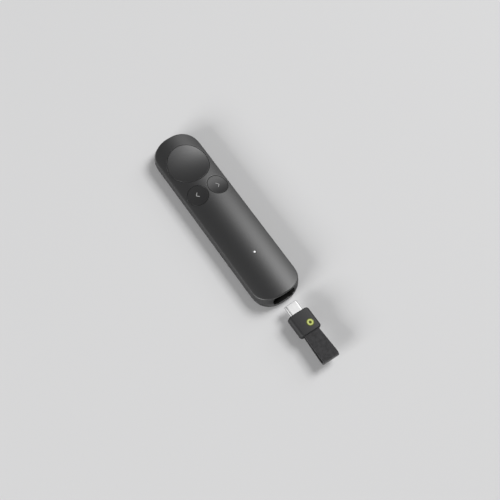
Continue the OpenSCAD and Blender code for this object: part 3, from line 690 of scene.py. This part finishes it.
def light_window():
    """Clear rod with a flange, turned about its own line, its end a shallow dome level with the crown."""
    skin = Skin()
    foot, slope = 0.08, 0.05
    drops = ((ROD_R, 0.12), (0.57, 0.07), (0.48, 0.04), (0.3, 0.015), (0.15, 0.005), (0, 0.003))
    dome = [(r, HEIGHT - drop) for r, drop in drops]
    skin.turned([
        (0, ROD_FOOT), (ROD_R - foot, ROD_FOOT), (ROD_R, ROD_FOOT + foot), (ROD_R, FLANGE_Z),
        (FLANGE_R - slope, FLANGE_Z), (FLANGE_R, FLANGE_Z + slope), (FLANGE_R, FLANGE_TOP - slope),
        (FLANGE_R - slope, FLANGE_TOP), (ROD_R, FLANGE_TOP)] + dome, LIGHT, 36)
    return skin


# ---------- receiver ----------

# Points round a long edge's quarter, across the face and along the straight of the receiver's housing
ARC, ACROSS_FACE, ALONG = 15, 24, 10
# Angles of the rows round its corners, closer where the face's edge is round
CORNER_ROWS = np.radians([0, 6, 12, 18, 24, 31, 38, 46, 55, 65, 77, 90])
# Small slope at the parting face, the net on the upper face, and the points round the badge's seat
PARTING_SLOPE, FACE_NET, SEAT_POINTS = 0.05, (5, -83, -71, 0.8), 48


def half_outline(size, count):
    """Upper half of a round-cornered rectangle from right to left, in evenly spread points."""
    w, h, r = size
    a = np.linspace(0, np.pi / 2, 9)
    q = np.column_stack([w - r + r * np.cos(a), h - r + r * np.sin(a)])
    return spread(np.vstack([[[w, 0.0]], q, q[::-1] * [-1, 1], [[-w, 0.0]]]), count - 1)


def receiver_outside(face_z):
    """Half of a round-cornered section carried along Y and narrowed at both ends, in plan by the corners'
    radius and in height by the radius of the faces' edges. Points are (x, y, height above the middle)."""
    w, h, r = RECEIVER_W, RECEIVER_H, LONG_R
    arc = np.linspace(0, np.pi / 2, ARC)
    right = np.column_stack([w - r + r * np.cos(arc), h - r + (r - h + face_z(w - r)) * np.sin(arc)])
    x = np.linspace(w - r, -(w - r), ACROSS_FACE + 2)[1:-1]
    slope = np.array([[w - PARTING_SLOPE, 0.0], [w, PARTING_SLOPE]])
    section = np.vstack([
        slope, right, np.column_stack([x, face_z(x)]), right[::-1] * [-1, 1], slope[::-1] * [-1, 1]])
    in_y = CORNER_R * (1 - np.cos(CORNER_ROWS))
    in_x = CORNER_R * (1 - np.sin(CORNER_ROWS))
    in_z = FACE_R - np.sqrt(np.maximum(FACE_R ** 2 - np.maximum(FACE_R - in_y, 0) ** 2, 0))
    straight = np.linspace(RECEIVER_FRONT - CORNER_R, RECEIVER_TAIL + CORNER_R, ALONG + 2)[1:-1]
    y = np.concatenate([RECEIVER_FRONT - in_y, straight, (RECEIVER_TAIL + in_y)[::-1]])
    share_x, share_z = (w - in_x) / w, (h - in_z) / h
    x, z = (
        np.concatenate([share, np.ones(ALONG), share[::-1]])[:, None] * section[:, k]
        for k, share in enumerate((share_x, share_z)))
    return np.stack([x, np.broadcast_to(y[:, None], x.shape), z], -1)


def badge_seat(skin, body, face_z):
    """The upper half's outside: its face is filled round the badge's seat, which goes straight down to a
    flat bottom, both in the dark finish as painted shade, and the rest is as it was carried."""
    left, right = 1 + ARC, 1 + ARC + ACROSS_FACE
    first, last = len(CORNER_ROWS) - 1, len(body) - len(CORNER_ROWS)
    skin.grid(body[:, :left + 1])
    skin.grid(body[:, right:])
    skin.grid(body[:first + 1, left:right + 1])
    skin.grid(body[last:, left:right + 1])
    border = np.vstack([
        body[first, left:right + 1], body[first + 1:last, right],
        body[last, left:right + 1][::-1], body[first + 1:last, left][::-1]])[:, :2]
    badge = ring(*BADGE, SEAT_R, SEAT_POINTS)

    def on_face(x, y):
        return np.column_stack([x, y, face_z(x)])

    skin.fill([border, badge], scatter(*FACE_NET), on_face)
    seat = flat(RECEIVER_H - SEAT_DEEP)(*badge.T)
    # The seat's side and bottom take the dark finish: painted shade round the badge.
    skin.hoops([on_face(*badge.T), seat], mark=1)
    skin.lid(seat, mark=1)


def receiver_half(up):
    """One half of the receiver's housing, the upper one for 1 and the lower one for -1. Outside: its carried
    section. Inside: the plug's slot, the board's room and the strap's opening, cut from the parting face,
    their faces in the dark finish as painted shade."""
    skin = Skin()
    drop = FACE_DROP if up > 0 else 0.0

    def face_z(x):
        return RECEIVER_H - drop * (x / RECEIVER_W) ** 2

    body = receiver_outside(face_z)
    if up > 0:
        badge_seat(skin, body, face_z)
    else:
        skin.grid(body)
    count = body.shape[1]
    slot, room, gap = (half_outline(size, count) for size in (PLUG_SLOT, BOARD_ROOM, STRAP_GAP))
    # Front and tail faces, from the outline in to the plug's slot and the strap's opening
    front = between(body[0], standing(RECEIVER_FRONT)(*slot.T), 5)
    tail = between(body[-1], standing(RECEIVER_TAIL)(*gap.T), 5)
    skin.grid(front)
    skin.grid(tail)
    at_front, at_back, at_end = standing(ROOM_FRONT), standing(ROOM_BACK), standing(GAP_END)
    # The faces inside the openings take the dark finish: painted shade in the plug's slot, the board's room
    # and the strap's opening.
    skin.grid([front[-1], at_front(*slot.T)], mark=1)
    skin.grid([tail[-1], at_end(*gap.T)], mark=1)
    skin.grid([at_front(*slot.T), at_front(*room.T), at_back(*room.T)], mark=1)
    none = np.zeros((0, 2))
    skin.fill([gap], none, at_end, mark=1)
    skin.fill([room], none, at_back, mark=1)
    slot_w, room_w, gap_w = PLUG_SLOT[0], BOARD_ROOM[0], STRAP_GAP[0]
    parting = np.vstack([
        front[::-1, 0, :2], body[1:-1, 0, :2], tail[:, 0, :2], [[gap_w, GAP_END], [-gap_w, GAP_END]],
        tail[::-1, -1, :2], body[1:-1, -1, :2][::-1], front[:, -1, :2],
        [[-slot_w, ROOM_FRONT], [-room_w, ROOM_FRONT], [-room_w, ROOM_BACK],
         [room_w, ROOM_BACK], [room_w, ROOM_FRONT], [slot_w, ROOM_FRONT]]])
    skin.fill([parting], none, flat(0.0))
    skin.move([1, 1, up], [0, 0, DOCK_Z])
    return skin


def plug_tube():
    """The plug's shell: a round-cornered section carried along Y, rolled over at the tip by half an oval and
    carried back down inside."""
    roll, ridge, step = 0.3, -69.0, -66.5

    def loop(inset, y):
        q = round_rect(PLUG_W - inset, PLUG_H - inset, PLUG_R - inset, 12, (10, 2)) + [0, DOCK_Z]
        return standing(y)(*q.T)

    rows = [loop(0, y) for y in (PLUG_END, ridge, step, PLUG_TIP - roll)]
    for a in np.linspace(0, np.pi, 9)[1:]:
        rows.append(loop(PLUG_WALL / 2 * (1 - np.cos(a)), PLUG_TIP - roll + roll * np.sin(a)))
    skin = Skin()
    skin.hoops(rows + [loop(PLUG_WALL, step), loop(PLUG_WALL, PLUG_END), rows[0]])
    return skin


def badge_ring():
    """Round badge, turned about its own line: a ring, domed by half a sine wave, round a dimple. Its mark
    is 1 where it is dark: in the dimple, and at its outer edge, where the dark is painted shade."""
    skin = Skin()
    inner, outer, rise = 0.95, 2.15, 0.02
    r = np.linspace(inner, outer, 11)
    dome = BADGE_TOP - rise + rise * np.sin(np.pi * (r - inner) / (outer - inner))
    dimple = ((0, 0.28), (0.4, 0.275), (0.66, 0.25), (0.8, 0.18), (0.88, 0.08))
    thick = BADGE_TOP - BADGE_Z
    edge = ((BADGE_R - 0.03, 0.06), (BADGE_R, 0.14), (BADGE_R, thick - 0.02), (BADGE_R - 0.05, thick))
    profile = np.vstack([
        [(r, BADGE_TOP - drop) for r, drop in dimple], np.column_stack([r, dome]),
        [(r, BADGE_TOP - drop) for r, drop in edge], [(0, BADGE_Z)]])
    # Dark in the dimple, light on the ring, and dark again at the outer edge, which is painted shade.
    mark = np.interp(profile[:, 0], [0, 0.7, 1.0, 1.5, 1.9, BADGE_R], [1, 1, 0, 0, 0.9, 1])
    skin.turned(profile, BADGE, 56, mark=mark)
    return skin


# ---------- strap ----------

def strap_loop():
    """The strap: the outline of a band with soft edges, carried round the belt line of the pin and the wider
    loose end. The weave's own coordinates are the length along the belt and the place across it."""
    skin = Skin()
    taper = np.arcsin((END_FOLD - PIN_FOLD) / (PIN_Y - END_Y))
    a = np.linspace(np.pi / 2 + taper, 3 * np.pi / 2 - taper, 40)
    far = np.column_stack([END_Y + END_FOLD * np.cos(a), DOCK_Z + END_FOLD * np.sin(a)])
    a = np.linspace(-np.pi / 2 - taper, np.pi / 2 + taper, 26)
    near = np.column_stack([PIN_Y + PIN_FOLD * np.cos(a), DOCK_Z + PIN_FOLD * np.sin(a)])
    path = np.vstack([far, between(far[-1], near[0], 50)[1:-1], near, between(near[-1], far[0], 50)[1:-1]])
    t = np.roll(path, -1, 0) - np.roll(path, 1, 0)
    normal = np.column_stack([t[:, 1], -t[:, 0]]) / np.linalg.norm(t, axis=1)[:, None]
    # The belt line is closed with its first place again, and its length is a whole number of pairs of ribs.
    path, normal = np.vstack([path, path[:1]]), np.vstack([normal, normal[:1]])
    length = np.concatenate([[0], np.cumsum(np.sqrt((np.diff(path, axis=0) ** 2).sum(1)))])
    length *= np.round(length[-1] / RIB) * RIB / length[-1]
    q = round_rect(STRAP_W, STRAP_T / 2, STRAP_EDGE, 6, (26, 2))
    width = 1 - NARROW * np.clip((path[:, :1] - END_Y) / (PIN_Y - END_Y), 0, 1)
    y, z = (path[:, k:k + 1] + normal[:, k:k + 1] * q[:, 1] for k in (0, 1))
    uv = np.stack(np.broadcast_arrays(length[:, None], q[:, 0]), -1)
    skin.hoops(np.stack([q[:, 0] * width, y, z], -1), uv=uv)
    return skin


# ---------- camera, floor and light ----------

# Camera: its turns in radians, its place from the part's origin in millimetres to its own right, up and
# back, its focal length where the view is this wide, and the width of its sensor in millimetres
SWING, TILT, ROLL = 0.31796, 0.30250, 0.92971
LENS = (14.9934, -16.1846, 512.597)
FOCAL, IMAGE_W, SENSOR_W = 886.416, 500, 36
# Soft lamps: distance, then direction from the clicker, sides in metres, and power in watts
LAMP_DISTANCE = 3.0
LAMPS = {
    "key_lamp": ((0.6, 0.06, 0.8), (1.35, 1.35), 60),
    "side_lamp": ((0.85, 0.1, 0.52), (1.35, 1.35), 12),
    "low_lamp": ((-0.92, -0.2, 0.38), (1.5, 0.9), 80),
}
WORLD_LEVEL, FLOOR_TONE, FLOOR_HALF = 0.16, (0.64, 0.64, 0.644, 1), 4


def stand_camera():
    """The camera looks down on the clicker from the dock end's left: a turn about the part's upright line
    (roll), a tilt and a swing, then a plain step back."""
    along = np.array([np.cos(ROLL) * np.cos(TILT), np.sin(ROLL) * np.cos(TILT), np.sin(TILT)])
    across = np.array([-np.sin(ROLL), np.cos(ROLL), 0])
    up = np.array([-np.cos(ROLL) * np.sin(TILT), -np.sin(ROLL) * np.sin(TILT), np.cos(TILT)])
    side = np.cos(SWING) * across + np.sin(SWING) * up
    out = -np.sin(SWING) * across + np.cos(SWING) * up
    turn = np.diag([1.0, -1.0, 1.0]) @ np.column_stack([-side, -along, out])
    data = bpy.data.cameras.new("camera")
    data.sensor_width = SENSOR_W
    data.lens = FOCAL / IMAGE_W * SENSOR_W
    data.clip_start = 0.01
    camera = bpy.data.objects.new("camera", data)
    place = Vector(turn.T @ np.array(LENS) * MM)
    camera.matrix_world = Matrix.Translation(place) @ Matrix(turn.T.tolist()).to_4x4()
    bpy.context.scene.collection.objects.link(camera)
    bpy.context.scene.camera = camera


def lay_floor():
    """A plain pale sheet at the height the clicker rests on."""
    mesh = bpy.data.meshes.new("floor")
    corners = [(x * FLOOR_HALF, y * FLOOR_HALF, 0) for x, y in ((-1, -1), (1, -1), (1, 1), (-1, 1))]
    mesh.from_pydata(corners, [], [(0, 1, 2, 3)])
    floor = bpy.data.objects.new("floor", mesh)
    bpy.context.scene.collection.objects.link(floor)
    finish = bpy.data.materials.new("pale_floor")
    finish.use_nodes = True
    shader = finish.node_tree.nodes["Principled BSDF"]
    shader.inputs["Base Color"].default_value = FLOOR_TONE
    shader.inputs["Roughness"].default_value = 0.8
    mesh.materials.append(finish)


def hang_lamp(name, direction, size, power):
    """A soft rectangular lamp that faces the clicker from a direction."""
    data = bpy.data.lights.new(name, "AREA")
    data.shape = "RECTANGLE"
    data.size, data.size_y = size
    data.energy = power
    lamp = bpy.data.objects.new(name, data)
    d = Vector(direction).normalized()
    turn = d.to_track_quat("Z", "Y").to_matrix().to_4x4()
    lamp.matrix_world = Matrix.Translation(d * LAMP_DISTANCE) @ turn
    bpy.context.scene.collection.objects.link(lamp)


def set_world():
    """An even white world at a low level, for the light from all sides."""
    world = bpy.data.worlds.new("studio")
    bpy.context.scene.world = world
    world.use_nodes = True
    background = world.node_tree.nodes["Background"]
    background.inputs["Color"].default_value = (1, 1, 1, 1)
    background.inputs["Strength"].default_value = WORLD_LEVEL


bpy.context.scene.view_settings.view_transform = "Standard"
stand_camera()
lay_floor()
for lamp_name, (direction, size, power) in LAMPS.items():
    hang_lamp(lamp_name, direction, size, power)
set_world()


# ---------- finishes ----------

# Grain in millimetres of the slow patches in moulded finishes, of the patches in the weave and of its fuzz
PATCH, WEAVE_PATCH, FUZZ = 4.5, 1.9, 0.12
# Range of the noise that is used, its share in the roughness and the relief, and the roughness of a dip
NOISE, ROUGHEN, RAISE, DIP_ROUGH = (0.3, 0.7), 0.035, 0.6, 0.75


class Finish:
    """A material under construction: short calls that add a node, feed its sockets and give its result."""

    def __init__(self, name):
        self.material = bpy.data.materials.new(name)
        self.material.use_nodes = True
        self.tree = self.material.node_tree
        self.shader = self.tree.nodes["Principled BSDF"]
        self.object_place = self.node("ShaderNodeTexCoord").outputs["Object"]

    def node(self, kind, settings=(), **sockets):
        """A new node, with its settings and its sockets, whose names have _ for a space."""
        new = self.tree.nodes.new(kind)
        for key, value in dict(settings).items():
            setattr(new, key, value)
        for key, value in sockets.items():
            self.feed(new.inputs[key.replace("_", " ")], value)
        return new

    def feed(self, socket, value):
        """Links a socket to another node's result, or sets it to a number or colour."""
        if isinstance(value, bpy.types.NodeSocket):
            self.tree.links.new(value, socket)
        else:
            socket.default_value = value

    def set(self, **sockets):
        """Feeds sockets of the shader."""
        for key, value in sockets.items():
            self.feed(self.shader.inputs[key.replace("_", " ")], value)

    def noise(self, spot, size, detail):
        """Noise whose largest grains are about size millimetres."""
        grains = self.node("ShaderNodeTexNoise", Vector=spot, Scale=1 / (size * MM), Detail=detail)
        return grains.outputs["Fac"]

    def ramp(self, value, low, high, start, end):
        """A value that runs from start to end while the given one runs from low to high."""
        sockets = {"Value": value, "From_Min": low, "From_Max": high, "To_Min": start, "To_Max": end}
        return self.node("ShaderNodeMapRange", **sockets).outputs["Result"]

    def mix(self, kind, factor, a, b):
        """a where the factor is 0, and b where it is 1."""
        return self.node("ShaderNodeMix", {"data_type": kind}, Factor=factor, A=a, B=b).outputs["Result"]

    def maths(self, kind, *values):
        """A sum, product or other operation on one or two values."""
        step = self.node("ShaderNodeMath", {"operation": kind})
        for k, value in enumerate(values):
            self.feed(step.inputs[k], value)
        return step.outputs["Value"]

    def bump(self, height, depth, strength):
        """Relief on the surface, depth in millimetres."""
        relief = self.node("ShaderNodeBump", Height=height, Distance=depth * MM, Strength=strength)
        self.set(Normal=relief.outputs["Normal"])


def shades(colour, share):
    """A colour made darker and lighter by a share of itself, and no lighter than white."""
    return [(*[min(c * k, 1) for c in colour], 1) for k in (1 - share, 1 + share)]


def moulded(name, colour, rough, grain=0.14, height=0.004, mottle=0.05, metal=0.0, spec=0.5,
            dip_and_shade=None, glow=None, coat=0.0, streak=None):
    """A moulded, painted or metal finish: a fine grain that roughens the surface, and slow patches that vary
    its tone a little. streak draws the grain out, and a matt second colour goes where the piece's mark is 1,
    which on the badge is its dark dimple and painted shade at its edge."""
    finish = Finish(name)
    finish.set(Metallic=metal, Specular_IOR_Level=spec, Coat_Weight=coat)
    spot = finish.object_place
    if streak:
        spot = finish.node("ShaderNodeMapping", Vector=spot, Scale=streak).outputs["Vector"]
    fine = finish.noise(spot, grain, 2)
    slow = finish.noise(finish.object_place, PATCH, 3)
    tone = finish.mix("RGBA", slow, *shades(colour, mottle))
    dull = finish.ramp(fine, *NOISE, rough - ROUGHEN, rough + ROUGHEN)
    # The matt second colour where the mark is 1: on the badge a dark dimple, and painted shade at its edge.
    if dip_and_shade:
        mark = finish.node("ShaderNodeAttribute", {"attribute_name": "mark"}).outputs["Fac"]
        tone = finish.mix("RGBA", mark, tone, (*dip_and_shade, 1))
        dull = finish.mix("FLOAT", mark, dull, DIP_ROUGH)
    finish.set(Base_Color=tone, Roughness=dull)
    finish.bump(fine, height, RAISE)
    if glow:
        finish.set(Emission_Color=(*colour, 1), Emission_Strength=glow)
    return finish.material


def webbing(name, colour):
    """Narrow woven band: ribs across it, crossed by finer threads along it that shift by half a thread from
    rib to rib, with painted shade between the threads and painted light on their raised parts, and patches of
    lighter wear."""
    finish = Finish(name)
    maths = finish.maths
    rib_high, thread_high, fuzz_high, wear = 0.6, 0.4, 0.5, 3.4
    finish.set(Sheen_Weight=0.5, Sheen_Roughness=0.5, Specular_IOR_Level=0.3)
    uv = finish.node("ShaderNodeUVMap", {"uv_map": "UVMap"}).outputs["UV"]
    places = finish.node("ShaderNodeSeparateXYZ", Vector=uv).outputs
    along, across = places["X"], places["Y"]
    rib = maths("ABSOLUTE", maths("SINE", maths("MULTIPLY", along, 2 * np.pi / RIB)))
    shift = maths("MULTIPLY", maths("FLOOR", maths("MULTIPLY", along, 2 / RIB)), np.pi)
    thread = maths("SINE", maths("ADD", maths("MULTIPLY", across, 2 * np.pi / THREAD), shift))
    weave = maths("ADD", maths("MULTIPLY", rib, rib_high), maths("MULTIPLY", thread, thread_high))
    fuzz = finish.noise(finish.object_place, FUZZ, 2)
    patch = finish.noise(finish.object_place, WEAVE_PATCH, 3)
    raised = maths("ADD", weave, maths("MULTIPLY", fuzz, fuzz_high))
    # The weave's height paints shade in its low places and light on its raised threads, and the slow patches
    # add lighter wear.
    shade_and_wear = finish.ramp(maths("ADD", raised, maths("MULTIPLY", patch, wear)), 1.1, 2.9, 0.0, 1.0)
    dark, light = (*[c * 0.45 for c in colour], 1), (*[c * 1.65 for c in colour], 1)
    finish.set(Base_Color=finish.mix("RGBA", shade_and_wear, dark, light))
    finish.set(Roughness=finish.ramp(shade_and_wear, 0, 1, 0.92, 0.78))
    finish.bump(raised, 0.04, 0.7)
    return finish.material


GRAPHITE = moulded("graphite_cover", (0.013, 0.013, 0.0135), 0.44, spec=0.85)
BASE = moulded("graphite_base", (0.013, 0.013, 0.0135), 0.48)
CAP = moulded("graphite_button", (0.014, 0.014, 0.0145), 0.44, spec=0.85, grain=0.12)
SMALL_CAP = moulded("graphite_small_button", (0.0185, 0.0185, 0.019), 0.46, spec=0.42, grain=0.12)
# Dark finish on the inner faces of the covers and the receiver, also laid as painted shade in the dock's
# bore, down the buttons' holes, in the receiver's openings and round the badge's seat.
DARK_INSIDE_AND_SHADE = moulded("black_inside_and_painted_shade", (0.004, 0.004, 0.004), 0.8, spec=0.2)
RECEIVER = moulded("receiver_plastic", (0.018, 0.018, 0.019), 0.56, grain=0.18, height=0.006, mottle=0.08,
                   spec=0.4)
PAD = moulded("pad_rubber", (0.018, 0.018, 0.019), 0.85, grain=0.3, height=0.03)
# The printed ink glows a little: painted light, with no lamp under it.
INK = moulded("mark_ink_painted_glow", (0.36, 0.36, 0.36), 0.6, glow=0.05)
WINDOW = moulded("lit_window", (0.75, 0.75, 0.75), 0.3, glow=0.3, mottle=0.02)
NICKEL = moulded("plug_nickel", (0.51, 0.51, 0.51), 0.5, metal=1.0, grain=0.08, height=0.0015,
                 streak=(1, 0.06, 1))
# Its dark matt second colour goes in the dimple and, as painted shade, at its outer edge.
ENAMEL = moulded("badge_enamel", (0.5, 0.56, 0.13), 0.4, dip_and_shade=(0.055, 0.064, 0.003), coat=0.2, mottle=0.03)
STRAP = webbing("strap_webbing", (0.018, 0.0176, 0.0189))
BLACK = moulded("black_plastic", (0.01, 0.01, 0.01), 0.55)
# The sleeve is made darker than the other black plastic: painted shade in the pocket behind the dock's mouth.
SLEEVE = moulded("sleeve_plastic_and_painted_shade", (0.007, 0.007, 0.007), 0.6)
STEEL = moulded("zinc_steel", (0.56, 0.56, 0.57), 0.35, metal=1.0, grain=0.1)
TIN = moulded("tinned_steel", (0.7, 0.7, 0.69), 0.3, metal=1.0, grain=0.2)
IVORY = moulded("switch_ivory", (0.75, 0.7, 0.6), 0.5)
BOARD = moulded("circuit_board", (0.01, 0.09, 0.035), 0.4, grain=0.5, mottle=0.15)
CHIP = moulded("chip_plastic", (0.015, 0.015, 0.016), 0.5)
FOIL = moulded("battery_foil", (0.6, 0.6, 0.62), 0.38, metal=1.0, grain=0.6, height=0.01)
FOAM = moulded("adhesive_foam", (0.02, 0.02, 0.022), 0.9, grain=0.25, height=0.03)
CERAMIC = moulded("antenna_ceramic", (0.8, 0.79, 0.74), 0.45)
LAMP = moulded("lamp_resin", (0.9, 0.88, 0.6), 0.3, coat=0.3)
LINER = moulded("frame_plastic", (0.08, 0.08, 0.085), 0.55)

# The CAD nodes that keep their own mesh, by finish
NODE_FINISH = [
    (STEEL, ["cover_screws", "board_screws", "strap_pin", "vibration_motor"]),
    (TIN, ["radio_shield", "crystal", "charge_port", "battery_tabs"]),
    (BLACK, ["pointer_switch", "back_switch", "next_switch", "charge_tongue", "plug_insert"]),
    (IVORY, ["pointer_stem", "back_stem", "next_stem"]),
    (BOARD, ["main_board", "receiver_board"]),
    (CHIP, ["radio_chip", "motion_sensor", "power_chip", "receiver_chip"]),
    (CERAMIC, ["antenna"]), (LAMP, ["status_led"]), (FOIL, ["battery"]), (FOAM, ["battery_pad"]),
    (SLEEVE, ["dock_sleeve"]), (LINER, ["button_frame"]),
]
for finish, names in NODE_FINISH:
    for name in names:
        for material_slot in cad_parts[name].material_slots:
            material_slot.material = finish


# ---------- pieces ----------

# Places of the printed arrow heads on the small buttons
BACK_MARK, NEXT_MARK = (-6.85, 18.15), (7.1, 17.65)

top_cover().make("top_shell", "housing", ["top_cover"], (GRAPHITE, DARK_INSIDE_AND_SHADE), "cover_plastic")
bottom_cover().make("base_shell", "housing", ["bottom_cover"], (BASE, DARK_INSIDE_AND_SHADE), "base_plastic")
base_pad().make("grip_pad", "housing", ["base_pad"], (PAD,), "pad_rubber")
pointer_cap = button_cap(POINTER, POINTER_UNDER, (-GUIDE_X, GUIDE_X))
pointer_cap.make("pointer_cap", "pointer", ["pointer_button"], (CAP,), "button_plastic")
button_cap(BACK, SMALL_UNDER).make("back_cap", "back", ["back_button"], (SMALL_CAP,), "button_plastic")
button_cap(NEXT, SMALL_UNDER).make("next_cap", "next", ["next_button"], (SMALL_CAP,), "button_plastic")
arrow_mark(BACK, BACK_MARK, -1).make("back_mark", "back", [], (INK,), None)
arrow_mark(NEXT, NEXT_MARK, 1).make("next_mark", "next", [], (INK,), None)
light_window().make("light_window", "housing", ["light_pipe"], (WINDOW,), "clear_plastic")
receiver_half(1).make("receiver_roof", "receiver", ["receiver_upper"], (RECEIVER, DARK_INSIDE_AND_SHADE), "receiver_plastic")
receiver_half(-1).make("receiver_tray", "receiver", ["receiver_lower"], (RECEIVER, DARK_INSIDE_AND_SHADE), "receiver_plastic")
plug_tube().make("plug_tube", "receiver", ["plug_shell"], (NICKEL,), "plug_metal")
badge_ring().make("badge_ring", "receiver", ["badge"], (ENAMEL,), "badge_enamel")
strap_loop().make("strap_loop", "receiver", ["strap"], (STRAP,), "strap_band")
